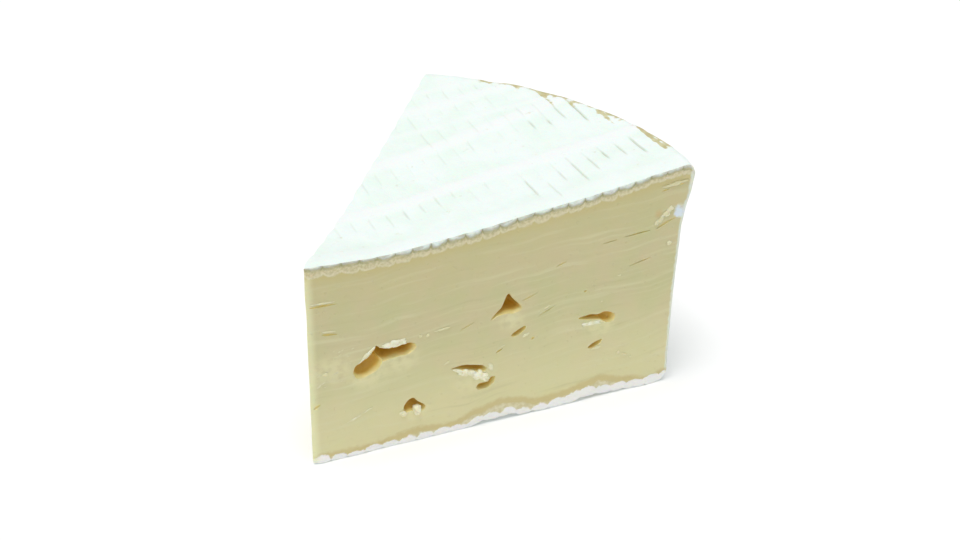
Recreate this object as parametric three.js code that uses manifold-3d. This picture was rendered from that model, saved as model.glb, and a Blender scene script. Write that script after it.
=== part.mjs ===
// A wedge cut from a thick bloomy-rind soft cheese wheel. Millimetres, +Z up.
// The front cut face looks along -Y, with the tip at -X and the wheel's rim at +X.
// The origin lies on the surface the wedge rests on, under the middle of its box.
//
// The wedge is one natural body. It is the part that three shapes have in common:
// a slab with the print of a reed mat on both faces, the revolved wheel, and the knife's prism.
// The eyes of the paste are then taken out of the two cut faces.
import * as THREE from "three";
import { mergeVertices } from "three/addons/utils/BufferGeometryUtils.js";
import Module from "manifold-3d";

// The wheel.
const rimRadius = 87.5;
const middleHeight = 54.6;
const rimRise = 8.6;
const dishPower = 1.3;
const lipHeight = 8;
const lipRound = 2.6;
const lipFlare = 2.8;
const flareHeight = 9;
const sideTaper = 2.4;
const footRound = 3.6;

// The cut: its angle, and where the wheel's centre lies, seen from the wedge's tip.
const wedgeAngle = THREE.MathUtils.degToRad(51);
const centreAlongCut = 17;
const centreBehindCut = 7.6;

// The print of the reed mat. Valleys run along Y, one every reed.
const reedPitch = 4.6;
const topReedRelief = 0.5;
const baseReedRelief = 0.6;

// Eyes: along and up are shares of the cut face, from its tip and its base. Sizes are millimetres.
const frontEyes = [
  { along: 0.149, up: 0.454, wide: 8.6, high: 5.4, deep: 5.0, tilt: 34 },
  { along: 0.219, up: 0.5, wide: 11.2, high: 3.6, deep: 4.4, tilt: 8 },
  { along: 0.516, up: 0.606, wide: 4.8, high: 5.8, deep: 4.6, tilt: -16 },
  { along: 0.481, up: 0.568, wide: 6.6, high: 1.8, deep: 2.2, tilt: 20 },
  { along: 0.541, up: 0.454, wide: 4.2, high: 1.6, deep: 2.0, tilt: 22 },
  { along: 0.748, up: 0.436, wide: 10.0, high: 1.8, deep: 2.6, tilt: -7 },
  { along: 0.745, up: 0.289, wide: 3.8, high: 1.2, deep: 1.6, tilt: 10 },
  { along: 0.408, up: 0.33, wide: 9.6, high: 1.8, deep: 3.0, tilt: -8 },
  { along: 0.446, up: 0.22, wide: 4.4, high: 2.2, deep: 2.6, tilt: 6 },
  { along: 0.257, up: 0.198, wide: 3.8, high: 3.6, deep: 3.2, tilt: 0 },
];
const backEyes = [
  { along: 0.26, up: 0.55, wide: 7.2, high: 4.2, deep: 4.0, tilt: -18 },
  { along: 0.44, up: 0.3, wide: 10.4, high: 2.6, deep: 3.2, tilt: 8 },
  { along: 0.62, up: 0.5, wide: 5.2, high: 4.4, deep: 4.2, tilt: 20 },
  { along: 0.8, up: 0.28, wide: 4.6, high: 2.4, deep: 2.4, tilt: -8 },
];

// Steps of the faceted surfaces.
const stepsPerReed = 4;
const stepsAcross = 12;
const wheelSegments = 120;
const roundSteps = 4;
const sideSteps = 9;
const eyeFacets = 2;

// Places worked out from the sizes above.
const rimHeight = middleHeight + rimRise;
const wheelCentre = new THREE.Vector2(centreAlongCut, centreBehindCut);
const frontCut = new THREE.Vector2(1, 0);
const backCut = new THREE.Vector2(Math.cos(wedgeAngle), Math.sin(wedgeAngle));
const spare = 10; // how far the cutting shapes run past the wheel

const wasm = await Module();
wasm.setup();

// A closed three.js geometry as a solid that can be cut and joined.
function solid(geometry) {
  geometry.deleteAttribute("normal");
  geometry.deleteAttribute("uv");
  const merged = mergeVertices(geometry, 1e-4);
  const corners = merged.index.array;
  const kept = [];
  for (let i = 0; i < corners.length; i += 3) {
    const [a, b, c] = corners.slice(i, i + 3);
    if (a !== b && b !== c && c !== a) kept.push(a, b, c);
  }
  const mesh = new wasm.Mesh({
    numProp: 3,
    vertProperties: merged.attributes.position.array,
    triVerts: new Uint32Array(kept),
  });
  return new wasm.Manifold(mesh);
}

// Distance from the tip to the wheel's rim along a cut.
function cutLength(direction) {
  const along = wheelCentre.dot(direction);
  const aside = wheelCentre.cross(direction);
  return along + Math.sqrt(rimRadius ** 2 - aside ** 2);
}

// 0 in the valley between two reeds and 1 on the crest of one.
function reedCrest(x) {
  return Math.abs(Math.sin((Math.PI * x) / reedPitch));
}

// The top sags towards the wheel's middle and carries the reeds' print.
function topHeight(x, y) {
  const fromCentre = Math.hypot(x - wheelCentre.x, y - wheelCentre.y);
  const dish = rimRise * (fromCentre / rimRadius) ** dishPower;
  return middleHeight + dish - topReedRelief * (1 - reedCrest(x));
}

// The underside is flat between narrow valleys, so the wedge rests on true flats.
function baseHeight(x) {
  const reed = x / reedPitch;
  const fromValley = Math.abs(reed - Math.round(reed));
  return baseReedRelief * Math.max(0, 1 - stepsPerReed * fromValley);
}

// A slab wider than the wedge, with a column of facets for each quarter of a reed.
function makeSlab() {
  const reeds = Math.ceil(cutLength(frontCut) / reedPitch) + 2;
  const length = reeds * reedPitch;
  const width = wheelCentre.y + rimRadius + spare;
  const slab = new THREE.BoxGeometry(length, width, 1, reeds * stepsPerReed, stepsAcross, 1);
  slab.translate(length / 2 - reedPitch, width / 2 - spare / 2, 0);
  const place = slab.attributes.position;
  for (let i = 0; i < place.count; i += 1) {
    const x = place.getX(i);
    const height = place.getZ(i) > 0 ? topHeight(x, place.getY(i)) : baseHeight(x);
    place.setZ(i, height);
  }
  return solid(slab);
}

// The wheel's outside: a rounded foot, a side that leans out, and a lip that stands proud of it.
function makeWheel() {
  const sideRadius = rimRadius - lipFlare;
  const footRadius = sideRadius - sideTaper;
  const lipBottom = rimHeight - lipHeight;
  const profile = new THREE.Path();
  profile.moveTo(0, 0);
  profile.lineTo(footRadius - footRound, 0);
  profile.absarc(footRadius - footRound, footRound, footRound, -Math.PI / 2, 0, false);
  const side = new THREE.SplineCurve([
    new THREE.Vector2(footRadius, footRound),
    new THREE.Vector2(footRadius + sideTaper / 2, (lipBottom - flareHeight) / 2),
    new THREE.Vector2(sideRadius, lipBottom - flareHeight),
    new THREE.Vector2(rimRadius, lipBottom + lipRound),
  ]);
  const lip = new THREE.EllipseCurve(
    rimRadius - lipRound, rimHeight - lipRound, lipRound, lipRound, 0, Math.PI / 2,
  );
  const points = [
    ...profile.getPoints(roundSteps),
    ...side.getPoints(sideSteps).slice(1),
    ...lip.getPoints(roundSteps),
    new THREE.Vector2(rimRadius - 2 * lipRound, rimHeight + spare),
    new THREE.Vector2(0, rimHeight + spare),
  ];
  const wheel = new THREE.LatheGeometry(points, wheelSegments);
  wheel.rotateX(Math.PI / 2);
  wheel.translate(wheelCentre.x, wheelCentre.y, 0);
  return solid(wheel);
}

// The prism between the knife's two planes, which meet at the tip.
function makeKnifePrism() {
  const reach = 2 * (wheelCentre.length() + rimRadius);
  const outline = new THREE.Shape([
    new THREE.Vector2(0, 0),
    frontCut.clone().multiplyScalar(reach),
    backCut.clone().multiplyScalar(reach),
  ]);
  const depth = rimHeight + 2 * spare;
  const prism = new THREE.ExtrudeGeometry(outline, { depth, bevelEnabled: false });
  prism.translate(0, 0, -spare);
  return solid(prism);
}

// One eye: an ellipsoid centred on a cut face, which leaves a bowl as deep as half of it.
function makeEye(eye, direction) {
  const place = direction.clone().multiplyScalar(eye.along * cutLength(direction));
  const bowl = new THREE.IcosahedronGeometry(1, eyeFacets);
  bowl.scale(eye.wide / 2, eye.deep, eye.high / 2);
  bowl.rotateY(-THREE.MathUtils.degToRad(eye.tilt));
  bowl.rotateZ(direction.angle());
  bowl.translate(place.x, place.y, eye.up * middleHeight);
  return solid(bowl);
}

// The solid as a mesh, centred over the origin and standing on it.
function makeWedge() {
  let wedge = makeSlab().intersect(makeWheel()).intersect(makeKnifePrism());
  for (const eye of frontEyes) wedge = wedge.subtract(makeEye(eye, frontCut));
  for (const eye of backEyes) wedge = wedge.subtract(makeEye(eye, backCut));
  const cut = wedge.getMesh();
  const geometry = new THREE.BufferGeometry();
  geometry.setAttribute("position", new THREE.BufferAttribute(cut.vertProperties, 3));
  geometry.setIndex(new THREE.BufferAttribute(cut.triVerts, 1));
  geometry.computeBoundingBox();
  const centre = geometry.boundingBox.getCenter(new THREE.Vector3());
  geometry.translate(-centre.x, -centre.y, -geometry.boundingBox.min.z);
  geometry.computeVertexNormals();
  return geometry;
}

const softCheese = new THREE.MeshStandardMaterial({
  color: 0xf3ebc4,
  roughness: 0.75,
  metalness: 0,
});

const cheese = new THREE.Group();
const wedge = new THREE.Mesh(makeWedge(), softCheese);
wedge.name = "cheese_wedge";
cheese.add(wedge);

export default cheese;
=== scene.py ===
import math

import bpy
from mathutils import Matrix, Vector, noise


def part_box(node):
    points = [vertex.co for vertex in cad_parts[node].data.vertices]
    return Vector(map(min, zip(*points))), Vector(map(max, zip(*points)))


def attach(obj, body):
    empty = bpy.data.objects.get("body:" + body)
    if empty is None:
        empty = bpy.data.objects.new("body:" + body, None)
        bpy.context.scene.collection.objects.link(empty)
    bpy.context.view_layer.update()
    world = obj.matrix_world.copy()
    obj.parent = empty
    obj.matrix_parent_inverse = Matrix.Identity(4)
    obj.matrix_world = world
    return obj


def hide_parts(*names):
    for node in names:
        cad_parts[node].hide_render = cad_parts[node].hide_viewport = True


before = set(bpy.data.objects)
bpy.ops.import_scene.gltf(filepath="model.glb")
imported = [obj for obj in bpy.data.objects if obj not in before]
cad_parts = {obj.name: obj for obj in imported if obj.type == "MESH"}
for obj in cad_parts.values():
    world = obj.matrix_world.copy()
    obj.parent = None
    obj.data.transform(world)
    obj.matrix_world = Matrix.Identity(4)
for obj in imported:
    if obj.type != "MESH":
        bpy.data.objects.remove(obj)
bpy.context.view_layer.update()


# --- Where the wedge stands -----------------------------------------------------------------
# A plain white table under soft light from above, as food is shown in a shop.
# The camera looks down at the front cut face from a little to the left of it.

mm = 0.001
low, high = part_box("cheese_wedge")
scene = bpy.context.scene
scene.view_settings.view_transform = "Standard"
scene.view_settings.look = "None"

camera_turn = math.radians(-24)
camera_tilt = math.radians(28.6)
camera_distance = 489.7 * mm
camera_lens = 75
camera_sensor = 36
looked_at = low + Vector((45.2, 0, 45)) * mm
forward = Vector((
    -math.sin(camera_turn) * math.cos(camera_tilt),
    math.cos(camera_turn) * math.cos(camera_tilt),
    -math.sin(camera_tilt),
))
bpy.ops.object.camera_add(
    location=looked_at - forward * camera_distance,
    rotation=(math.pi / 2 - camera_tilt, 0, camera_turn),
)
scene.camera = bpy.context.object
scene.camera.data.lens = camera_lens
scene.camera.data.sensor_width = camera_sensor
scene.camera.data.clip_start = 10 * mm

table_size = 6
table_gap = 0.05 * mm
bpy.ops.mesh.primitive_plane_add(size=table_size, location=(0, 0, low.z - table_gap))
table = bpy.context.object
table.name = "table"
table_white = bpy.data.materials.new("table_white")
table_white.use_nodes = True
table_paint = table_white.node_tree.nodes["Principled BSDF"].inputs
table_paint["Base Color"].default_value = (0.95, 0.95, 0.95, 1)
table_paint["Roughness"].default_value = 0.9
table_paint["Emission Color"].default_value = (1, 1, 1, 1)
table_paint["Emission Strength"].default_value = 0.08
table.data.materials.append(table_white)

# The room lights the wedge softly and shows as plain white behind it.
room_light = 0.4
room_seen = 1.0
scene.world = bpy.data.worlds.new("pale_room")
scene.world.use_nodes = True
room = scene.world.node_tree
seen = room.nodes.new("ShaderNodeLightPath")
glow = room.nodes.new("ShaderNodeMapRange")
glow.inputs["To Min"].default_value = room_light
glow.inputs["To Max"].default_value = room_seen
room.links.new(seen.outputs["Is Camera Ray"], glow.inputs["Value"])
room.nodes["Background"].inputs["Color"].default_value = (1, 1, 1, 1)
room.links.new(glow.outputs[0], room.nodes["Background"].inputs["Strength"])

lamp_width = math.radians(36)


def soft_lamp(name, direction, strength):
    """A wide even light from far off, so that the table stays evenly pale."""
    bpy.ops.object.light_add(type="SUN", location=Vector(direction))
    lamp = bpy.context.object
    lamp.name = name
    lamp.data.angle = lamp_width
    lamp.data.energy = strength
    lamp.rotation_euler = (-Vector(direction)).to_track_quat("-Z", "Y").to_euler()


soft_lamp("lamp_above", (-0.16, -0.12, 1.0), 1.93)
soft_lamp("lamp_front", (-0.7, -1.0, 0.8), 0.15)


# --- The wedge ------------------------------------------------------------------------------
# One body of soft cheese: ivory paste under a skin of white mould. The wheel drained between
# reed mats, which left ridges on top with bands where the mat's twine ran across them, and it
# slumped as it ripened, so the middle is dished and the top edge stands out as a lip.

# Sizes and places are in millimetres from the wedge's tip, with x along the front cut.
wheel_radius = 87.5
wheel_offset = 7.6
wheel_centre = Vector((high.x - low.x, 0)) / mm - Vector((wheel_radius, -wheel_offset))
wedge_angle = math.radians(51)
cut_direction = Vector((math.cos(wedge_angle), math.sin(wedge_angle)))
middle_height = 54.6
rim_rise = 8.6
rim_curve = 1.3
lip_round = 2.6
foot_round = 3.6
reed_pitch = 4.6
reed_relief = 0.09
band_relief = 0.22
groove_relief = 0.28
knife_press = 0.35


def smooth(value, start=0.0, end=1.0):
    """0 below start and 1 above end, with a soft step between."""
    share = min(max((value - start) / (end - start), 0), 1)
    return share * share * (3 - 2 * share)


def wander(x, y, z=0.0, size=1.0):
    """Soft noise from -1 to 1 that changes over about that many millimetres."""
    return noise.noise(Vector((x, y, z)) / size)


def chance(*numbers):
    """A fixed pick from 0 to 1 for the given whole numbers, by the usual sine hash."""
    mixed = sum(n * f for n, f in zip(numbers, (12.9898, 78.233, 37.719)))
    return (math.sin(mixed) * 43758.5453) % 1


# Twine bands: distance behind the front cut, slope, half width, height of the swell.
twine_bands = [
    (3.2, 0.01, 2.0, 0.5), (22.6, 0.055, 2.3, 1.0), (44.0, 0.17, 2.3, 0.95),
    (52.2, 0.0, 1.1, 0.5), (62.4, 0.02, 2.0, 0.8), (70.5, -0.04, 1.2, 0.5),
]
slope_from = 60
twine_drift = 1.1


def band_line(band, x):
    """How far behind the front cut the middle of the band runs at x."""
    behind, slope = band[:2]
    return behind + slope * (x - slope_from) + twine_drift * wander(x, behind, size=22)


def band_share(x, y):
    """1 on the middle of a twine band and 0 between bands."""
    share = 0
    for band in twine_bands:
        half_width, swell = band[2:]
        away = abs(y - band_line(band, x)) / half_width
        share = max(share, swell * (1 - smooth(away, 0.5, 1.5)))
    return share


# Grooves that stand open between two reeds: reed number, start, end, strength.
open_grooves = [
    (14, 6, 17, 0.7), (15, 2, 13, 0.4), (16, 9, 17, 0.5), (17, 6, 19, 0.7), (18, 9, 19, 0.6),
    (19, 13, 20, 1.0), (20, 12, 21, 0.7), (21, 10, 22, 0.9), (17, 37, 44, 0.7), (18, 37, 42, 1.0),
    (19, 38, 48, 0.7), (20, 34, 49, 1.0), (14, 32, 35, 0.6), (10, 27, 30, 0.5), (7, 12, 19, 0.5),
    (9, 14, 21, 0.4), (10, 16, 21, 0.4),
]
faint_groove = 0.3
shortest_groove = 3
groove_spread = 8
groove_end = 3


def groove_share(x, y):
    """1 in the bottom of an open groove between two reeds, 0 on a crest."""
    reed = x / reed_pitch
    number = round(reed)
    near = 1 - smooth(abs(reed - number) * reed_pitch, 0.05, 0.5)
    if near == 0:
        return 0
    share = 0
    for order, band in enumerate(twine_bands[1:]):
        before = band_line(band, x) - band[2] - y
        run = shortest_groove + groove_spread * chance(number, order)
        if 0 < before < run:
            faint = faint_groove * chance(number, order, 2)
            faint *= smooth(before, 0, 1.2) * (1 - smooth(before, run * 0.6, run))
            share = max(share, faint)
    for reed_number, start, end, strength in open_grooves:
        if reed_number == number and start < y < end:
            ends = smooth(y, start, start + groove_end) * (1 - smooth(y, end - groove_end, end))
            share = max(share, strength * ends)
    return near * share


def crest(x):
    """1 on the crest of a reed's print and 0 in the cusp between two."""
    return abs(math.sin(math.pi * x / reed_pitch))


def from_centre(x, y):
    return math.hypot(x - wheel_centre.x, y - wheel_centre.y)


def rounding(out, radius):
    """How far a rounded edge of the wheel has turned away at that distance from its centre."""
    edge = out - (wheel_radius - radius)
    if edge <= 0:
        return 0
    return radius - math.sqrt(max(radius ** 2 - edge ** 2, 0))


def top_height(x, y):
    out = from_centre(x, y)
    height = middle_height + rim_rise * (out / wheel_radius) ** rim_curve
    band = band_share(x, y)
    height += reed_relief * (crest(x) - 1) * (1 - 0.8 * band)
    height += band_relief * band - groove_relief * groove_share(x, y)
    height += 0.35 * wander(x, y, size=17) + 0.12 * wander(x, y, 5, size=3.5)
    height -= knife_press * math.exp(-y / 0.9)
    return height - rounding(out, lip_round)


def along_line(points, place):
    """The height of a line through (place, height) points."""
    for (x0, z0), (x1, z1) in zip(points, points[1:]):
        if place <= x1:
            return z0 + (z1 - z0) * smooth(place, x0, x1)
    return points[-1][1]


# Where the base lifts off the table along the front cut: distance from the tip, height.
base_lift = [
    (0, 0.5), (4, 0.1), (41, 0), (46, 0.9), (50, 0.8), (53.5, 1.3), (56.5, 0.3), (70, 0.1),
    (74.5, 0.9), (84, 0.5), (92, 0.1), (105, 0),
]
base_cusp = 0.3
base_hollow = 0.8


def base_height(x, y):
    height = base_cusp * (1 - smooth(crest(x), 0, 0.6)) + 0.08 * wander(x, y, 2, size=3)
    height += along_line(base_lift, x) * (1 - smooth(y, 1, 11))
    height += base_hollow * smooth(wander(x, y, 9, size=16), 0.2, 0.6) * smooth(y, 8, 20)
    height += rounding(from_centre(x, y), foot_round)
    return max(height, 0)


# The rind side below the lip: height, how far it lies inside the lip.
side_line = [(0, 5.2), (13, 4.8), (26, 4.1), (36, 3.4), (46, 2.7), (51, 1.7), (55, 0.5), (58.5, 0)]


def side_inset(z):
    for (z0, in0), (z1, in1) in zip(side_line, side_line[1:]):
        if z <= z1:
            return in0 + (in1 - in0) * (max(z, z0) - z0) / (z1 - z0)
    return 0


# The steps of the grid that the wedge's plan is drawn on: ten columns for each reed, then
# columns at even angles where the rim turns away, and rows from the front cut to the back.
columns = 250
rows = 80
levels = 84
even_columns = 200
column_step = reed_pitch / 10
turn_start = math.acos((even_columns * column_step - wheel_centre.x) / wheel_radius)
turn_end = math.asin(wheel_centre.y / wheel_radius)
aside = wheel_centre.x * cut_direction.y - wheel_centre.y * cut_direction.x
back_length = wheel_centre.dot(cut_direction) + math.sqrt(wheel_radius ** 2 - aside ** 2)
back_corner = cut_direction * back_length
corner_column = round(back_corner.x / column_step)


def column_place(column):
    if column == corner_column:
        return back_corner.x
    if column <= even_columns:
        return column * column_step
    share = (column - even_columns) / (columns - even_columns)
    angle = turn_start + (turn_end - turn_start) * share
    return wheel_centre.x + wheel_radius * math.cos(angle)


def back_place(x):
    """How far back the wedge reaches at x: to the back cut, and past its corner to the rim."""
    if x <= back_corner.x:
        return x * math.tan(wedge_angle)
    return wheel_centre.y + math.sqrt(max(wheel_radius ** 2 - (x - wheel_centre.x) ** 2, 0))


def level_height(level, base, top):
    """Steps are finest under the top rind and over the base rind."""
    fine_base, fine_top = 12, 20
    base_zone, top_zone = 6.0, 8.0
    if level <= fine_base:
        return base + base_zone * level / fine_base
    if level >= levels - fine_top:
        return top - top_zone * (levels - level) / fine_top
    share = (level - fine_base) / (levels - fine_top - fine_base)
    return base + base_zone + (top - top_zone - base - base_zone) * share


def cut_relief(along, z, under, over, x):
    """How far a cut face stands out: knife waves, drag lines and the rind's edge."""
    out = 0.22 * wander(along, z, size=19)
    out += 0.1 * wander(along * 0.25, z + along * 0.1, 3, size=2.2)
    out += 0.05 * wander(along, z, 7, size=1.6)
    out += 0.28 * crest(x) * (1 - smooth(under, 0.6, 2.0))
    out -= 0.22 * (1 - smooth(abs(under - 5.5), 0, 3.5))
    out += 0.25 * (1 - smooth(over, 0.5, 2.2)) * (0.5 + wander(along, 4, size=5))
    return out * smooth(along, 0, 1.5)


def wedge_point(column, row, level):
    x = column_place(column)
    y = back_place(x) * row / rows
    if column == columns:
        x = wheel_centre.x + math.sqrt(wheel_radius ** 2 - (y - wheel_centre.y) ** 2)
    on_front = row == 0
    on_back = row == rows and column <= corner_column
    on_rim = column == columns or (row == rows and column >= corner_column)
    top, base = top_height(x, y), base_height(x, y)
    z = level_height(level, base, top)
    pull = side_inset(z) * smooth(from_centre(x, y) / wheel_radius, 0.72, 1.0)
    if on_rim:
        pull -= 0.5 * wander(x, y, z, size=16) + 0.14 * wander(x, y, z, size=4)
    spot = Vector((x, y))
    if spot.length > 0:
        spot *= 1 - pull / max(spot.length, 40)
    along = spot.length
    relief = cut_relief(along, z, top - z, z - base, x)
    if on_front:
        spot.y -= relief
    if on_back:
        spot += Vector((-cut_direction.y, cut_direction.x)) * relief
    spot.x += 0.35 * wander(0, 0, z, size=9) * math.exp(-along / 3)
    return low + Vector((spot.x, spot.y, z)) * mm


# A flat grid is drawn up into a block of even steps, and each step goes to its place.
rind = bpy.data.materials.new("rind")
paste = bpy.data.materials.new("paste")
bpy.ops.object.select_all(action="DESELECT")
bpy.ops.mesh.primitive_grid_add(x_subdivisions=columns, y_subdivisions=rows, size=1)
wedge = bpy.context.object
wedge.name = "wedge"
wedge.data.materials.append(rind)
wedge.data.materials.append(paste)
bpy.ops.object.mode_set(mode="EDIT")
bpy.ops.mesh.select_all(action="SELECT")
bpy.ops.mesh.extrude_region_move(TRANSFORM_OT_translate={"value": (0, 0, 1)})
bpy.ops.mesh.select_mode(type="EDGE")
bpy.ops.mesh.select_all(action="DESELECT")
bpy.ops.object.mode_set(mode="OBJECT")
for edge in wedge.data.edges:
    first, last = (wedge.data.vertices[v].co for v in edge.vertices)
    edge.select = abs(first.z - last.z) > 0.5
bpy.ops.object.mode_set(mode="EDIT")
bpy.ops.mesh.subdivide(number_cuts=levels - 1)
bpy.ops.object.mode_set(mode="OBJECT")
grid_edge = 0.4999
for face in wedge.data.polygons:
    front = face.center.y < -grid_edge
    back = face.center.y > grid_edge and face.center.x + 0.5 < corner_column / columns
    face.material_index = 1 if front or back else 0
for vertex in wedge.data.vertices:
    column = round((vertex.co.x + 0.5) * columns)
    row = round((vertex.co.y + 0.5) * rows)
    vertex.co = wedge_point(column, row, round(vertex.co.z * levels))
bpy.ops.object.mode_set(mode="EDIT")
bpy.ops.mesh.select_mode(type="VERT")
bpy.ops.mesh.select_all(action="SELECT")
bpy.ops.mesh.remove_doubles(threshold=0.001 * mm)
bpy.ops.mesh.normals_make_consistent(inside=False)
bpy.ops.object.mode_set(mode="OBJECT")


# --- The wedge's eyes and cracks ------------------------------------------------------------
# Gas holes that the knife opened, and cracks where the soft paste pulled apart behind it.
# Each is cut into the wedge with an amber wall, undercut below its roof.

eye_wall = bpy.data.materials.new("eye_wall")
# The noise on the walls starts from a fixed place, so the eyes come out the same each time.
noise.seed_set(1)
mouth_out = -1.4
# Each cut is its direction away from the tip and its direction into the paste.
front_cut = (Vector((1, 0, 0)), Vector((0, 1, 0)))
back_cut = (
    Vector((cut_direction.x, cut_direction.y, 0)), Vector((cut_direction.y, -cut_direction.x, 0)),
)


def on_cut(cut, along, depth, up):
    """A place on a cut face: along it from the tip, into the paste and up from the table."""
    return low + (cut[0] * along + cut[1] * depth + Vector((0, 0, up))) * mm


def rounded(outline, steps):
    """A closed smooth line through the outline's points."""
    line = []
    count = len(outline)
    for place in range(count):
        before, start, end, after = (Vector(outline[(place + k) % count]) for k in (-1, 0, 1, 2))
        for step in range(steps):
            t = step / steps
            line.append(
                0.5 * (2 * start + (end - before) * t
                       + (2 * before - 5 * start + 4 * end - after) * t ** 2
                       + (3 * start - before - 3 * end + after) * t ** 3)
            )
    return line


def hole_cutter(cut, outline, profile, ragged, steps):
    """A solid shaped like the hole. The profile gives its size at each depth, mouth first."""
    line = rounded(outline, steps)
    middle = sum(line, Vector((0, 0))) / len(line)
    roof = Vector((middle.x, 0.35 * middle.y + 0.65 * max(spot.y for spot in line)))
    bpy.ops.object.select_all(action="DESELECT")
    bpy.ops.mesh.primitive_circle_add(vertices=len(line), radius=1, fill_type="NGON")
    cutter = bpy.context.object
    ring = sorted(cutter.data.vertices, key=lambda v: v.index)
    for vertex, spot in zip(ring, line):
        flared = roof + (spot - roof) * profile[0][1]
        vertex.co = on_cut(cut, flared.x, profile[0][0], flared.y)
    bpy.ops.object.mode_set(mode="EDIT")
    bpy.ops.mesh.select_all(action="SELECT")
    for (depth_0, size_0), (depth_1, size_1) in zip(profile, profile[1:]):
        push = cut[1] * (depth_1 - depth_0) * mm
        bpy.ops.mesh.extrude_region_move(TRANSFORM_OT_translate={"value": push})
        bpy.ops.transform.resize(
            value=(size_1 / size_0,) * 3, center_override=on_cut(cut, roof.x, depth_1, roof.y)
        )
    bpy.ops.mesh.select_all(action="SELECT")
    bpy.ops.mesh.normals_make_consistent(inside=False)
    bpy.ops.object.mode_set(mode="OBJECT")
    for vertex in cutter.data.vertices:
        spot = vertex.co / mm
        shift = noise.noise_vector(spot / 1.6) * 0.22 + noise.noise_vector(spot / 0.6) * 0.07
        inside = (vertex.co - low).dot(cut[1]) > -0.5 * mm
        vertex.co += shift * mm * ragged * inside
    cutter.data.materials.append(eye_wall)
    return cutter


def eye_cutter(cut, outline, depth):
    """Flared at the mouth, then undercut under its roof, then closed."""
    profile = [
        (mouth_out, 1.18), (0, 1.02), (0.8, 0.9), (0.45 * depth + 0.3, 0.88),
        (0.7 * depth + 0.3, 0.76), (0.9 * depth + 0.3, 0.52), (depth + 0.3, 0.2),
    ]
    return hole_cutter(cut, outline, profile, min(1, 0.35 + depth / 6), 4)


def crack(cut, start, end, width):
    """A thin lens between two points of a cut face."""
    start, end = Vector(start), Vector(end)
    run = end - start
    side = Vector((-run.y, run.x)).normalized() * width / 2
    outline = [
        start, start + run * 0.3 - side, start + run * 0.65 - side * 0.7,
        end, start + run * 0.7 + side * 0.8, start + run * 0.35 + side,
    ]
    return hole_cutter(cut, outline, [(mouth_out, 1.3), (0.1, 1.0), (0.5, 0.4)], 0.15, 3)


big_bowl = [
    (11.5, 24.1), (12.0, 22.6), (13.6, 21.9), (15.7, 22.3), (17.9, 23.5), (18.9, 25.2),
    (18.2, 27.2), (16.8, 28.3), (15.0, 27.2), (12.4, 26.2),
]
big_slit = [
    (17.0, 27.2), (16.2, 28.9), (17.4, 30.0), (19.2, 29.3), (24.8, 29.0), (27.3, 28.6),
    (28.0, 27.0), (26.0, 25.7), (22.6, 25.7), (19.2, 25.3),
]
triangle_eye = [
    (53.1, 36.5), (54.4, 34.7), (56.4, 32.5), (56.7, 31.3), (54.7, 30.6), (52.0, 31.0),
    (50.1, 30.6), (48.2, 30.2), (49.8, 31.8), (51.2, 33.2), (51.9, 35.1),
]
small_eye = [(53.8, 24.2), (54.8, 25.2), (57.5, 26.2), (57.8, 25.5), (56.6, 24.5), (55.2, 23.8)]
right_slit = [
    (72.6, 24.8), (75.3, 25.3), (78.0, 24.9), (80.4, 25.2), (83.0, 23.8), (82.5, 21.9),
    (80.4, 22.0), (78.8, 23.2), (75.8, 23.8),
]
lower_slit = [(75.5, 15.3), (76.8, 16.5), (79.6, 17.1), (79.0, 16.0), (77.2, 15.1)]
middle_slit = [
    (37.3, 18.5), (39.6, 18.9), (41.6, 18.8), (45.4, 17.8), (46.9, 16.6), (46.2, 15.7),
    (43.0, 16.6), (39.7, 17.8),
]
flap_hole = [
    (44.2, 11.5), (44.9, 12.5), (47.1, 12.6), (48.2, 13.6), (49.4, 13.4), (48.8, 11.7),
    (47.0, 10.8), (45.0, 10.7),
]
low_eye = [
    (24.4, 10.6), (25.6, 12.4), (27.2, 12.6), (28.4, 11.2), (30.2, 9.6), (29.6, 8.2),
    (28.2, 8.6), (26.0, 8.8), (24.8, 8.8),
]
front_eyes = [
    (big_bowl, 3.6), (triangle_eye, 5.0), (small_eye, 2.2), (right_slit, 2.8), (lower_slit, 2.0),
    (middle_slit, 3.0), (flap_hole, 2.4), (low_eye, 3.0),
]
big_slit_depth = 4.8

# Each crack runs from one place to another and has a width.
front_cracks = [
    ((61.4, 28.2), (66.2, 30.3), 0.3), ((39.8, 29.0), (43.9, 30.6), 0.35),
    ((0.9, 44.4), (7.8, 44.1), 0.6), ((3.6, 36.4), (7.7, 35.7), 0.6),
    ((92.4, 46.1), (84.6, 45.7), 0.35), ((83.0, 45.4), (78.6, 44.9), 0.25),
    ((93.0, 38.2), (86.5, 37.0), 0.3), ((59.4, 21.8), (60.3, 22.4), 0.6),
    ((74.0, 32.2), (74.9, 32.6), 0.5), ((0.8, 16.0), (2.6, 16.9), 0.8),
    ((94.8, 56.2), (98.4, 56.5), 0.4), ((99.6, 56.7), (102.4, 57.4), 0.4),
    ((66.0, 41.2), (69.0, 42.2), 0.3), ((49.6, 20.4), (51.4, 21.2), 0.45),
    ((56.7, 33.6), (61.2, 35.0), 0.3), ((94.0, 46.2), (99.8, 48.3), 0.6),
]
tip_eye = [
    (23.0, 28.4), (26.6, 27.4), (29.6, 26.2), (31.8, 28.0), (30.6, 30.6), (28.0, 31.6), (25.6, 31.0),
]
long_slit = [
    (39.5, 15.6), (43.0, 15.8), (47.0, 15.0), (52.0, 17.4), (49.0, 18.4), (45.0, 17.2), (42.0, 17.6),
]
forked_eye = [
    (61.6, 25.6), (64.0, 26.2), (66.8, 24.6), (67.8, 27.4), (65.6, 29.4), (64.2, 32.0), (62.8, 29.0),
]
rim_eye = [(81.0, 14.6), (83.8, 14.2), (86.2, 15.6), (84.6, 16.8), (82.6, 16.4)]
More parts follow.
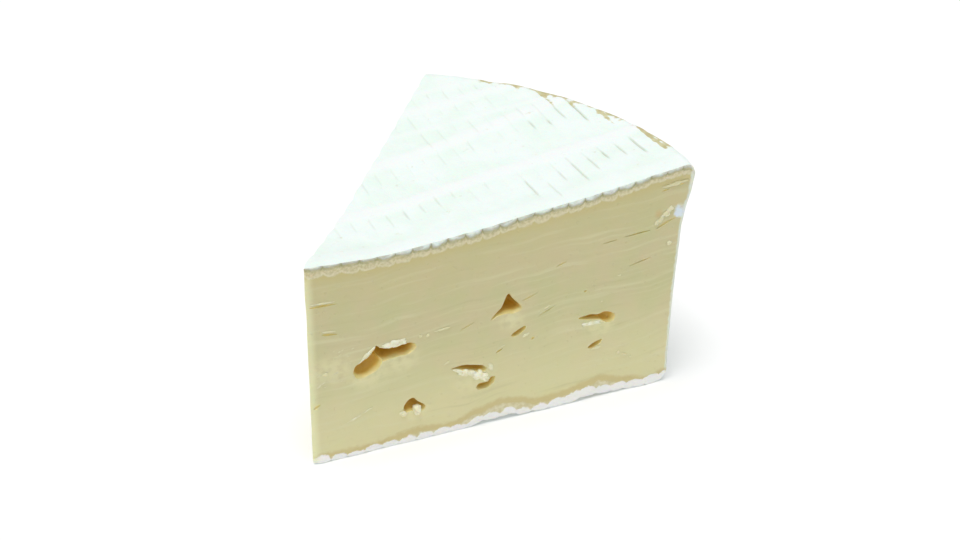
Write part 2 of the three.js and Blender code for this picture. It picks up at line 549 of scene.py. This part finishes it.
back_eyes = [(tip_eye, 4.0), (long_slit, 3.2), (forked_eye, 4.2), (rim_eye, 2.4)]
back_cracks = [
    ((14.0, 20.0), (19.0, 21.6), 0.5), ((70.0, 38.0), (77.0, 38.8), 0.5),
    ((52.0, 34.0), (56.0, 35.4), 0.4),
]

first_cutters = [eye_cutter(front_cut, outline, depth) for outline, depth in front_eyes]
first_cutters += [crack(front_cut, start, end, width) for start, end, width in front_cracks]
first_cutters += [eye_cutter(back_cut, outline, depth) for outline, depth in back_eyes]
first_cutters += [crack(back_cut, start, end, width) for start, end, width in back_cracks]
# The slit runs into the bowl, so it is cut after it.
later_cutters = [eye_cutter(front_cut, big_slit, big_slit_depth)]
for cutters in (first_cutters, later_cutters):
    bpy.ops.object.select_all(action="DESELECT")
    for cutter in cutters:
        cutter.select_set(True)
    bpy.context.view_layer.objects.active = cutters[0]
    if len(cutters) > 1:
        bpy.ops.object.join()
    holes = bpy.context.object
    bpy.ops.object.select_all(action="DESELECT")
    wedge.select_set(True)
    bpy.context.view_layer.objects.active = wedge
    opened = wedge.modifiers.new("eyes", "BOOLEAN")
    opened.operation = "DIFFERENCE"
    opened.solver = "EXACT"
    opened.object = holes
    opened.material_mode = "TRANSFER"
    bpy.ops.object.modifier_apply(modifier=opened.name)
    bpy.data.objects.remove(holes)
bpy.ops.object.shade_smooth_by_angle(angle=math.radians(50))


# --- The wedge's skin -----------------------------------------------------------------------
# White mould felt that grew all over the wheel, dry and matt. It is whitest on the twine
# bands, grey in the open grooves, partly as dirt and partly as painted shade, and worn off in
# places along the lip and down the side.

# Worn places on the lip: from and to angle round the wheel in degrees, reach inwards.
worn_places = [
    (43.6, 46.6, 4.2), (37.2, 42.8, 4.6), (28.4, 36.8, 4.8), (22.2, 27.6, 3.8), (15.0, 21.8, 4.6),
    (1.4, 11.8, 3.8),
]


def worn_share(x, y, z):
    """1 where the white has come off the lip."""
    inside = wheel_radius - from_centre(x, y)
    angle = math.degrees(math.atan2(y - wheel_centre.y, x - wheel_centre.x))
    groove = 1 - smooth(crest(x), 0.1, 0.6)
    share = 0
    for start, end, reach in worn_places:
        within = smooth(angle, start - 0.8, start + 1) * (1 - smooth(angle, end - 1, end + 0.8))
        ragged_end = 0.9 * groove * chance(round(x / reed_pitch), 5) + 0.4 * wander(x, y, size=2)
        reach *= 0.7 + ragged_end
        share = max(share, within * (1 - smooth(inside, reach * 0.4, reach * 1.2)))
    return share * smooth(z + 2 * wander(x, y, z, size=3), 58.5, 62)


def under_top(x, y, z):
    return top_height(x, y) - z


def dash_share(x, y, z):
    return groove_share(x, y) * (1 - smooth(under_top(x, y, z), 0.3, 1.2))


def mark(name, measure):
    """Writes one measure on each point of the wedge, for its materials to read."""
    readings = []
    for vertex in wedge.data.vertices:
        x, y, z = (vertex.co - low) / mm
        readings.append(measure(x, y, z))
    layer = wedge.data.attributes.new(name, "FLOAT", "POINT")
    layer.data.foreach_set("value", readings)


mark("under_top", under_top)
mark("band", lambda x, y, z: band_share(x, y))
mark("dash", dash_share)
mark("worn", worn_share)


def add_node(tree, kind, inputs, **settings):
    """One node. Each input is a value or another node's output."""
    made = tree.nodes.new(kind)
    for name, value in settings.items():
        setattr(made, name, value)
    for place, value in inputs.items():
        if isinstance(value, bpy.types.NodeSocket):
            tree.links.new(value, made.inputs[place])
        else:
            made.inputs[place].default_value = value
    return made


def calc(tree, operation, first, second=0.0, third=0.0):
    inputs = {0: first, 1: second, 2: third}
    return add_node(tree, "ShaderNodeMath", inputs, operation=operation).outputs[0]


def times(tree, first, second):
    return calc(tree, "MULTIPLY", first, second)


def scaled_onto(tree, value, scale, onto):
    """The value times the scale, added to the last one."""
    return calc(tree, "MULTIPLY_ADD", value, scale, onto)


def vector_calc(tree, operation, first, second):
    inputs = {0: first, 1: second}
    return add_node(tree, "ShaderNodeVectorMath", inputs, operation=operation).outputs


def span(tree, value, start, end):
    """0 below start, 1 above end, smooth between; reversed where start is the larger."""
    inputs = {"Value": value, "From Min": start, "From Max": end}
    made = add_node(tree, "ShaderNodeMapRange", inputs, interpolation_type="SMOOTHSTEP")
    return made.outputs[0]


def blend(tree, share, first, second):
    made = add_node(tree, "ShaderNodeMix", {0: share, 6: first, 7: second}, data_type="RGBA")
    return made.outputs[2]


def cloud(tree, where, size, detail=3.0):
    """Noise from 0 to 1 that changes over about that many millimetres."""
    inputs = {"Vector": where, "Scale": 1 / size, "Detail": detail}
    return add_node(tree, "ShaderNodeTexNoise", inputs).outputs[0]


def reading(tree, name):
    return add_node(tree, "ShaderNodeAttribute", {}, attribute_name=name).outputs["Fac"]


def in_millimetres(tree):
    """Object coordinates from the wedge's tip, in millimetres."""
    place = add_node(tree, "ShaderNodeTexCoord", {}).outputs["Object"]
    from_tip = vector_calc(tree, "SUBTRACT", place, tuple(low))["Vector"]
    inputs = {0: from_tip, 3: 1 / mm}
    return add_node(tree, "ShaderNodeVectorMath", inputs, operation="SCALE").outputs[0]


def tone(red, green, blue):
    """A colour from its 0 to 255 display values."""
    return tuple(((value / 255 + 0.055) / 1.055) ** 2.4 for value in (red, green, blue)) + (1,)


def new_group(name, inputs, outputs):
    group = bpy.data.node_groups.new(name, "ShaderNodeTree")
    for socket, kind in inputs:
        group.interface.new_socket(socket, in_out="INPUT", socket_type=kind)
    for socket, kind in outputs:
        group.interface.new_socket(socket, in_out="OUTPUT", socket_type=kind)
    group_in = group.nodes.new("NodeGroupInput").outputs
    return group, group_in, group.nodes.new("NodeGroupOutput").inputs


def use_group(tree, group, inputs):
    made = tree.nodes.new("ShaderNodeGroup")
    made.node_tree = group
    for place, value in inputs.items():
        tree.links.new(value, made.inputs[place])
    return made.outputs


def bump(tree, height, strength, distance):
    inputs = {"Height": height, "Strength": strength, "Distance": distance * mm}
    return add_node(tree, "ShaderNodeBump", inputs).outputs[0]


def open_material(material):
    material.use_nodes = True
    return material.node_tree, material.node_tree.nodes["Principled BSDF"]


# The felt itself, which the skin shows in the open and the cut shows in section.
felt_white = tone(237, 251, 242)
felt_bright = tone(243, 253, 249)
felt_thin = tone(226, 236, 222)
bloom, bloom_in, bloom_out = new_group(
    "mould_bloom", [("Place", "NodeSocketVector")],
    [("Color", "NodeSocketColor"), ("Height", "NodeSocketFloat")],
)
drifts = cloud(bloom, bloom_in["Place"], 9, 4)
felt = cloud(bloom, bloom_in["Place"], 0.8, 5)
specks = cloud(bloom, bloom_in["Place"], 0.35, 2)
whole_felt = blend(bloom, span(bloom, drifts, 0.35, 0.65), felt_white, felt_bright)
thin_share = times(bloom, span(bloom, felt, 0.38, 0.24), 0.35)
bloom.links.new(blend(bloom, thin_share, whole_felt, felt_thin), bloom_out["Color"])
bloom.links.new(scaled_onto(bloom, specks, 0.35, felt), bloom_out["Height"])

band_white = tone(246, 252, 250)
groove_grey_and_shade = tone(184, 190, 166)
worn_dark = tone(194, 184, 130)
worn_light = tone(214, 208, 164)
rubbed_cream = tone(232, 226, 190)

tree, shader = open_material(rind)
place = in_millimetres(tree)
white = use_group(tree, bloom, {"Place": place})
banded = blend(tree, reading(tree, "band"), white["Color"], band_white)
# Partly dirt and partly painted shade: the open grooves between reeds are mixed towards grey.
with_groove_dirt_and_shade = blend(tree, times(tree, reading(tree, "dash"), 0.85), banded, groove_grey_and_shade)
worn_noise = times(tree, cloud(tree, place, 1.8, 5), 1.7)
worn_edge = calc(tree, "ADD", reading(tree, "worn"), worn_noise)
worn_mask = times(tree, span(tree, worn_edge, 1.1, 1.6), 0.95)
worn_mottle = span(tree, cloud(tree, place, 2.5, 3), 0.35, 0.65)
worn_skin = blend(tree, worn_mask, with_groove_dirt_and_shade, blend(tree, worn_mottle, worn_dark, worn_light))
on_side = span(tree, reading(tree, "under_top"), 2.5, 6.0)
flat_place = vector_calc(tree, "MULTIPLY", place, (0.35, 0.35, 1))["Vector"]
rubbed_patch = span(tree, cloud(tree, flat_place, 3.2, 6), 0.50, 0.74)
rubbed_share = times(tree, times(tree, on_side, rubbed_patch), 0.5)
skin_colour = blend(tree, rubbed_share, worn_skin, rubbed_cream)
tree.links.new(skin_colour, shader.inputs["Base Color"])
tree.links.new(bump(tree, white["Height"], 0.35, 0.25), shader.inputs["Normal"])
shader.inputs["Roughness"].default_value = 0.85
shader.inputs["Sheen Weight"].default_value = 0.15
shader.inputs["Sheen Roughness"].default_value = 0.6
shader.inputs["Specular IOR Level"].default_value = 0.2
shader.inputs["Subsurface Weight"].default_value = 0.1
shader.inputs["Subsurface Scale"].default_value = 0.6 * mm


# --- The wedge's cut faces ------------------------------------------------------------------
# Ivory paste, moist and a little clear, streaked where the knife dragged. Round the edge the
# knife shows the skin in section: white lobes where reeds pressed, a dark line in the cusps,
# beige and ochre bands below them, and a grey-tan skin with white felt at the foot.

# The top of the base skin along a cut: distance from the tip, height.
base_skin_line = [
    (0, 1.4), (16, 1.1), (28.6, 2.5), (36.8, 1.6), (45, 4.0), (51, 5.2), (55.6, 4.5), (61, 2.7),
    (68, 3.0), (74, 4.0), (79.5, 5.0), (86, 3.0), (94, 1.2), (98, 2.6), (110, 2.6),
]
# The paste is lighter round an eye, most of all under it: middle of the light place, reach.
halos = [
    ((15.5, 22.6), 8), ((24.0, 24.4), 7), ((43.5, 14.6), 8), ((28.0, 8.4), 5), ((6.0, 26.0), 8),
    ((79.0, 21.4), 6), ((54.0, 28.6), 5),
]


def halo_share(x, y, z):
    share = 0
    for (eye_x, eye_z), reach in halos:
        away = math.hypot(x - eye_x, (z - eye_z) * 1.4)
        share = max(share, 1 - smooth(away / reach, 0.3, 1))
    return share * (1 - smooth(y, 1, 3))


mark("along_cut", lambda x, y, z: math.hypot(x, y))
mark("over_skin", lambda x, y, z: z - along_line(base_skin_line, math.hypot(x, y)))
mark("over_foot", lambda x, y, z: z - along_line(base_lift, math.hypot(x, y)))
mark("in_rim", lambda x, y, z: wheel_radius - side_inset(z) - from_centre(x, y))
mark("halo", halo_share)

# The paste itself, which the cuts show and the mouths of the eyes run into.
ivory_green = tone(205, 203, 154)
ivory_pink = tone(211, 202, 159)
ivory_light = tone(227, 222, 175)
drag_light = tone(224, 221, 182)
drag_dark = tone(191, 186, 138)
drag_slope = 0.05
drag_stretch = 0.05
body, body_in, body_out = new_group(
    "paste_body", [("Place", "NodeSocketVector"), ("Along", "NodeSocketFloat")],
    [("Color", "NodeSocketColor"), ("Height", "NodeSocketFloat")],
)
up = add_node(body, "ShaderNodeSeparateXYZ", {0: body_in["Place"]}).outputs[2]
drag_up = scaled_onto(body, body_in["Along"], -drag_slope, up)
drag_wave = scaled_onto(body, cloud(body, body_in["Place"], 26, 2), 6.0, drag_up)
drag_along = times(body, body_in["Along"], drag_stretch)
drag_place = add_node(body, "ShaderNodeCombineXYZ", {0: drag_along, 1: drag_wave}).outputs[0]
drag = cloud(body, drag_place, 1.5, 4)
tint = cloud(body, body_in["Place"], 12, 3)
grain = cloud(body, body_in["Place"], 1.3, 5)
ivory = blend(body, span(body, tint, 0.34, 0.66), ivory_green, ivory_pink)
lighter_low = times(body, span(body, up, 34, 4), 0.75)
graded = blend(body, lighter_low, ivory, ivory_light)
streaked = blend(body, times(body, span(body, drag, 0.5, 0.76), 0.6), graded, drag_light)
shaded = blend(body, times(body, span(body, drag, 0.44, 0.22), 0.35), streaked, drag_dark)
body.links.new(shaded, body_out["Color"])
pit_inputs = {"Vector": body_in["Place"], "Scale": 0.55, "Randomness": 1.0}
pits = add_node(body, "ShaderNodeTexVoronoi", pit_inputs).outputs["Distance"]
pit_depth = times(body, span(body, pits, 0.22, 0.05), -0.6)
grain_height = scaled_onto(body, grain, 0.5, pit_depth)
body.links.new(calc(body, "ADD", drag, grain_height), body_out["Height"])

tree, shader = open_material(paste)
place = in_millimetres(tree)
across = add_node(tree, "ShaderNodeSeparateXYZ", {0: place}).outputs[0]
along = reading(tree, "along_cut")
under = reading(tree, "under_top")
inner = use_group(tree, body, {"Place": place, "Along": along})
white = use_group(tree, bloom, {"Place": place})
ragged = calc(tree, "SUBTRACT", cloud(tree, place, 1.5, 4), 0.5)
warp = calc(tree, "SUBTRACT", cloud(tree, place, 7, 2), 0.5)

# The paste's light places by the eyes, and the ochre band that sinks in under the skin.
halo_cream = tone(232, 228, 182)
ochre_faint = tone(209, 197, 148)
ochre = tone(207, 196, 138)
halo_patch = span(tree, cloud(tree, place, 2.4, 4), 0.3, 0.6)
halo = times(tree, reading(tree, "halo"), halo_patch)
with_halo = blend(tree, times(tree, halo, 0.6), inner["Color"], halo_cream)
faint_share = times(tree, span(tree, under, 20, 5), 0.4)
with_faint = blend(tree, faint_share, with_halo, ochre_faint)
ragged_under = scaled_onto(tree, ragged, 0.9, under)
ochre_share = times(tree, span(tree, ragged_under, 6.2, 2.8), 0.85)
with_ochre = blend(tree, ochre_share, with_faint, ochre)

# Each reed left one lobe of felt. Lobes are thinner by the tip and by the rim.
warped_across = scaled_onto(tree, warp, 1.6, across)
reed_share = calc(tree, "FRACT", calc(tree, "DIVIDE", warped_across, reed_pitch))
from_middle = calc(tree, "ABSOLUTE", calc(tree, "SUBTRACT", reed_share, 0.5))
to_cusp = times(tree, from_middle, 2.0)
round_part = calc(tree, "SUBTRACT", 1.0, calc(tree, "POWER", to_cusp, 2.6))
lobe_wander = span(tree, cloud(tree, place, 5, 2), 0.2, 0.8)
even_size = calc(tree, "ADD", times(tree, lobe_wander, 1.1), 0.55)
rim_thinning = scaled_onto(tree, span(tree, across, 96, 78), 0.45, 0.55)
lobe_size = times(tree, even_size, rim_thinning)
full_depth = scaled_onto(tree, calc(tree, "SQRT", round_part), lobe_size, 0.28)
tip_thinning = scaled_onto(tree, span(tree, warped_across, 14, 30), 0.5, 0.5)
lobe_depth = times(tree, full_depth, tip_thinning)
below_lobe = calc(tree, "SUBTRACT", ragged_under, lobe_depth)
below_full = calc(tree, "SUBTRACT", ragged_under, full_depth)

# Under the lobes: a dark line, deepest in the cusps, then a beige band with a pale lower edge.
beige_reach = 2.3
beige_edge_at = 1.5
cusp_line_at = 0.12
beige_dark = tone(205, 197, 152)
beige_light = tone(226, 218, 184)
beige_edge = tone(232, 226, 194)
cusp_dark = tone(158, 160, 116)
lobe_shadow = tone(192, 192, 176)
rim_pale = tone(226, 232, 216)
beige_speck = span(tree, cloud(tree, place, 0.7, 3), 0.35, 0.65)
beige = blend(tree, beige_speck, beige_dark, beige_light)
beige_share = times(tree, span(tree, below_full, beige_reach, beige_edge_at), 0.9)
with_beige = blend(tree, beige_share, with_ochre, beige)
from_edge = calc(tree, "ABSOLUTE", calc(tree, "SUBTRACT", below_full, beige_edge_at))
edge_share = times(tree, span(tree, from_edge, 0.5, 0.1), 0.45)
with_edge = blend(tree, edge_share, with_beige, beige_edge)
from_line = calc(tree, "ABSOLUTE", calc(tree, "SUBTRACT", below_lobe, cusp_line_at))
line_strength = scaled_onto(tree, calc(tree, "POWER", to_cusp, 3.0), 0.5, 0.4)
line_share = times(tree, span(tree, from_line, 0.8, cusp_line_at), line_strength)
with_line = blend(tree, line_share, with_edge, cusp_dark)
lobe_mask = span(tree, below_lobe, 0.15, -0.3)
lobe_cloud = times(tree, span(tree, cloud(tree, place, 3.5, 3), 0.4, 0.65), 0.8)
lobe_shade = calc(tree, "MAXIMUM", lobe_cloud, span(tree, below_lobe, -1.2, 0.0))
lobe_colour = blend(tree, lobe_shade, white["Color"], lobe_shadow)
with_lobe = blend(tree, lobe_mask, with_line, lobe_colour)
ragged_rim = scaled_onto(tree, ragged, 1.0, reading(tree, "in_rim"))
with_rim = blend(tree, span(tree, ragged_rim, 1.0, 0.35), with_lobe, rim_pale)

# By the rim the paste tore: bared white-blue mould, with a small ochre spot beside it that is
# painted shade in the hollow above the torn ridge.
patch_middle = (100.6, 0, 49.7)
shade_spot_middle = (94.6, 0, 50.2)
patch_white = tone(226, 238, 246)
shade_spot_ochre = tone(212, 178, 118)
to_patch = vector_calc(tree, "DISTANCE", place, patch_middle)["Value"]
patch_share = span(tree, scaled_onto(tree, ragged, 2.6, to_patch), 2.2, 0.9)
with_patch = blend(tree, patch_share, with_rim, patch_white)
# Painted shade: a small ochre spot in the hollow above-left of the torn ridge.
to_shade_spot = vector_calc(tree, "DISTANCE", place, shade_spot_middle)["Value"]
shade_spot_share = times(tree, span(tree, scaled_onto(tree, ragged, 1.2, to_shade_spot), 1.7, 0.2), 0.5)
with_shade_spot = blend(tree, shade_spot_share, with_patch, shade_spot_ochre)

# At the foot: the tan skin, mottled beige below it, then scalloped felt on the table.
foot_tan = tone(206, 190, 134)
foot_dark = tone(212, 203, 160)
foot_light = tone(228, 222, 192)
foot_white = tone(250, 250, 247)
over_skin = scaled_onto(tree, ragged, 1.6, reading(tree, "over_skin"))
tan_share = times(tree, span(tree, over_skin, 2.0, 0.6), 0.72)
with_tan = blend(tree, tan_share, with_shade_spot, foot_tan)
foot_mottle = span(tree, cloud(tree, place, 1.6, 4), 0.35, 0.65)
foot_beige = blend(tree, foot_mottle, foot_dark, foot_light)
with_foot_beige = blend(tree, span(tree, over_skin, -0.1, -1.0), with_tan, foot_beige)
foot_scallop = times(tree, calc(tree, "POWER", to_cusp, 2.0), 0.8)
over_foot = scaled_onto(tree, ragged, 1.5, reading(tree, "over_foot"))
higher_felt = times(tree, span(tree, along, 52, 74), -0.9)
over_felt = calc(tree, "ADD", calc(tree, "ADD", over_foot, foot_scallop), higher_felt)
felt_mask = span(tree, scaled_onto(tree, warp, 2.6, over_felt), 2.0, 1.5)
with_foot = blend(tree, felt_mask, with_foot_beige, foot_white)

# The thin edge at the tip lets the light through.
tip_light = tone(240, 243, 200)
tip_mask = times(tree, span(tree, along, 2.6, 0.4), span(tree, under, 2.0, 4.0))
cut_colour = blend(tree, times(tree, tip_mask, 0.6), with_foot, tip_light)
tree.links.new(cut_colour, shader.inputs["Base Color"])
felt_share = calc(tree, "MAXIMUM", lobe_mask, felt_mask)
felt_height = times(tree, times(tree, white["Height"], felt_share), 1.5)
cut_height = calc(tree, "ADD", inner["Height"], felt_height)
lined_height = calc(tree, "ADD", cut_height, times(tree, line_share, -1.0))
tree.links.new(bump(tree, lined_height, 0.5, 0.3), shader.inputs["Normal"])
tree.links.new(scaled_onto(tree, felt_share, 0.3, 0.48), shader.inputs["Roughness"])
shader.inputs["Specular IOR Level"].default_value = 0.35
shader.inputs["Subsurface Weight"].default_value = 0.3
shader.inputs["Subsurface Radius"].default_value = (1.0, 0.65, 0.3)
shader.inputs["Subsurface Scale"].default_value = 1.5 * mm


# --- The walls of the wedge's eyes ----------------------------------------------------------
# Paste that turned amber round the gas holes. The cream at the mouth is painted light, the amber
# darkens deeper in, partly as painted shade, and the brown under a roof, where it hangs over, is
# painted shade. It is moist, so it shines more than the cut.

mouth_painted_light = tone(240, 226, 156)
amber_light = tone(246, 216, 122)
amber_deep_and_shade = tone(214, 168, 52)
roof_painted_shade = tone(176, 124, 14)

mark("behind_cut", lambda x, y, z: min(y, x * cut_direction.y - y * cut_direction.x))
overhang = wedge.data.attributes.new("overhang", "FLOAT", "POINT")
overhang.data.foreach_set("value", [max(-vertex.normal.z, 0) for vertex in wedge.data.vertices])

tree, shader = open_material(eye_wall)
place = in_millimetres(tree)
inner = use_group(tree, body, {"Place": place, "Along": reading(tree, "along_cut")})
depth = scaled_onto(tree, cloud(tree, place, 1.2, 3), 0.8, reading(tree, "behind_cut"))
# The amber is the wall's own colour; its darkening deeper into the hole is partly painted shade.
amber = blend(tree, span(tree, depth, 1.4, 4.4), amber_light, amber_deep_and_shade)
# Painted shade: wall that faces down, under an eye's roof, is mixed towards brown.
roof_shaded = blend(tree, times(tree, reading(tree, "overhang"), 0.9), amber, roof_painted_shade)
# Painted light: the shallow wall at an eye's mouth is mixed towards a light cream, as if lit from
# above.
mouth = blend(tree, span(tree, depth, 0.1, 0.8), inner["Color"], mouth_painted_light)
wall_colour = blend(tree, span(tree, depth, 0.7, 2.1), mouth, roof_shaded)
tree.links.new(wall_colour, shader.inputs["Base Color"])
tree.links.new(bump(tree, inner["Height"], 0.4, 0.3), shader.inputs["Normal"])
shader.inputs["Roughness"].default_value = 0.35
shader.inputs["Subsurface Weight"].default_value = 0.15
shader.inputs["Subsurface Radius"].default_value = (1.0, 0.55, 0.15)
shader.inputs["Subsurface Scale"].default_value = 1.0 * mm

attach(wedge, "root")
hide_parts("cheese_wedge")


# --- Torn flakes and crumbs -----------------------------------------------------------------
# Bits of paste that the knife tore and left standing: flaps that hang over an eye's edge, and
# crumbs stuck to the cut. They are rough all through, so the larger a bit is the paler it is.


def torn_bit(cut, along, up, length, height, thick, tilt, stand, pale=1.0):
    """One closed lump with a ragged outline, sunk partly into the cut face."""
    bpy.ops.object.select_all(action="DESELECT")
    bpy.ops.mesh.primitive_ico_sphere_add(subdivisions=4, radius=0.5)
    bit = bpy.context.object
    turn = math.radians(tilt)
    for vertex in bit.data.vertices:
        spot = vertex.co.copy()
        ragged = 1 + 0.55 * wander(spot.x * length + along, spot.z * height + up, size=1.3)
        ragged += 0.3 * wander(spot.x * length + up, spot.y * 2, spot.z * height + along, size=0.5)
        wide, tall = spot.x * length * ragged, spot.z * height * ragged
        bit_along = wide * math.cos(turn) - tall * math.sin(turn)
        bit_up = wide * math.sin(turn) + tall * math.cos(turn)
        deep = spot.y * thick * ragged + thick * (0.5 - stand)
        vertex.co = on_cut(cut, along + bit_along, deep, up + bit_up)
    shade = bit.data.attributes.new("pale", "FLOAT", "POINT")
    bit_pale = min(pale, 0.1 + length * height / 8)
    shade.data.foreach_set("value", [bit_pale] * len(bit.data.vertices))
    return bit


# Each bit: place along the cut, height of it, then the bit's length, height, thickness, tilt
# in degrees and how much of it stands out, and for some how pale it is.
front_bits = [
    (22.4, 29.5, 7.4, 2.0, 1.8, 2, 0.3), (14.4, 27.6, 6.0, 1.0, 0.9, 36, 0.35),
    (76.4, 22.6, 6.2, 1.2, 1.2, -4, 0.38), (41.2, 16.5, 6.8, 1.7, 1.7, -20, 0.42),
    (45.5, 14.6, 5.0, 2.6, 2.1, -18, 0.42), (28.0, 8.7, 2.2, 2.5, 2.2, 8, 0.42),
    (24.2, 8.7, 2.2, 1.5, 1.4, 0, 0.42), (77.8, 14.9, 2.6, 0.6, 0.7, 6, 0.42),
    (57.8, 23.6, 2.0, 1.0, 0.7, 25, 0.4), (84.1, 34.9, 1.5, 0.7, 0.6, 10, 0.4),
    (84.4, 12.0, 1.2, 0.8, 0.7, 30, 0.5), (86.4, 10.9, 1.6, 0.5, 0.5, -20, 0.5),
    (88.0, 9.9, 0.9, 0.7, 0.6, 10, 0.5), (4.1, 25.1, 1.4, 1.0, 0.9, 15, 0.5),
    (63.5, 30.2, 2.2, 0.4, 0.5, 22, 0.35), (31.0, 29.9, 1.0, 0.9, 0.7, 80, 0.5),
    (35.0, 30.6, 4.4, 0.45, 0.5, 5, 0.45), (29.2, 30.0, 0.9, 0.8, 0.7, 20, 0.5),
    (11.0, 10.6, 4.6, 0.6, 0.6, 20, 0.4), (15.2, 12.4, 3.4, 0.4, 0.5, 22, 0.4),
    (36.0, 20.6, 1.6, 0.6, 0.6, 30, 0.45), (79.0, 28.4, 0.9, 0.5, 0.5, 10, 0.45),
    (50.6, 21.6, 2.6, 0.4, 0.5, 18, 0.4), (98.0, 41.2, 1.8, 1.1, 0.9, 20, 0.45),
    (99.2, 57.7, 6.2, 0.9, 0.5, 7, 0.2, 0.15), (4.0, 45.0, 5.4, 0.5, 0.6, -3, 0.35),
    (5.4, 36.9, 3.4, 0.5, 0.6, -8, 0.35), (94.8, 48.3, 3.4, 1.5, 1.2, 52, 0.35, 0.3),
    (97.0, 50.1, 4.4, 1.5, 1.2, 33, 0.35, 0.45), (48.2, 16.8, 1.5, 2.2, 1.0, 4, 0.35),
]
back_bits = [
    (28.4, 25.8, 5.6, 1.4, 1.3, -12, 0.4), (45.6, 18.6, 5.8, 1.2, 1.1, 3, 0.38),
    (66.0, 24.0, 3.2, 1.2, 1.1, -20, 0.4), (58.0, 12.4, 2.4, 0.9, 0.8, 15, 0.4),
    (74.0, 22.0, 1.6, 1.0, 0.8, 40, 0.4),
]
tip_bits = 26
stray_bits = 7
torn_bits = [torn_bit(front_cut, *bit) for bit in front_bits]
torn_bits += [torn_bit(back_cut, *bit) for bit in back_bits]
for number in range(tip_bits):
    along_front = 2.5 + 9 * chance(number, 1)
    over_table = 21.5 + 10 * chance(number, 2)
    length = 0.8 + 2.6 * chance(number, 3)
    height = 0.35 + 0.4 * chance(number, 4)
    tilt = 12 + 20 * chance(number, 5)
    torn_bits.append(torn_bit(front_cut, along_front, over_table, length, height, 0.45, tilt, 0.28))
for number in range(stray_bits):
    along_back = 12 + 74 * chance(number, 6)
    over_table = 8 + 38 * chance(number, 7)
    length = 0.8 + 1.8 * chance(number, 8)
    height = 0.5 + 0.5 * chance(number, 9)
    tilt = 40 * chance(number, 3)
    torn_bits.append(torn_bit(back_cut, along_back, over_table, length, height, 0.7, tilt, 0.4))
bpy.ops.object.select_all(action="DESELECT")
for bit in torn_bits:
    bit.select_set(True)
bpy.context.view_layer.objects.active = torn_bits[0]
bpy.ops.object.join()
torn_flakes = bpy.context.object
torn_flakes.name = "torn_flakes"
bpy.ops.object.transform_apply(location=True, rotation=True, scale=True)
bpy.ops.object.shade_smooth_by_angle(angle=math.radians(60))

flat_bit = tone(218, 211, 166)
torn_cream = tone(236, 232, 196)
torn_white = tone(246, 246, 222)

torn_paste = bpy.data.materials.new("torn_paste")
torn_flakes.data.materials.append(torn_paste)
tree, shader = open_material(torn_paste)
place = in_millimetres(tree)
torn_mottle = span(tree, cloud(tree, place, 1.0, 4), 0.35, 0.65)
whitish = blend(tree, torn_mottle, torn_cream, torn_white)
torn_colour = blend(tree, reading(tree, "pale"), flat_bit, whitish)
tree.links.new(torn_colour, shader.inputs["Base Color"])
tree.links.new(bump(tree, cloud(tree, place, 0.5, 4), 0.5, 0.2), shader.inputs["Normal"])
shader.inputs["Roughness"].default_value = 0.6
shader.inputs["Subsurface Weight"].default_value = 0.3
shader.inputs["Subsurface Radius"].default_value = (1.0, 0.7, 0.4)
shader.inputs["Subsurface Scale"].default_value = 1.0 * mm

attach(torn_flakes, "root")
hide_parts("cheese_wedge")
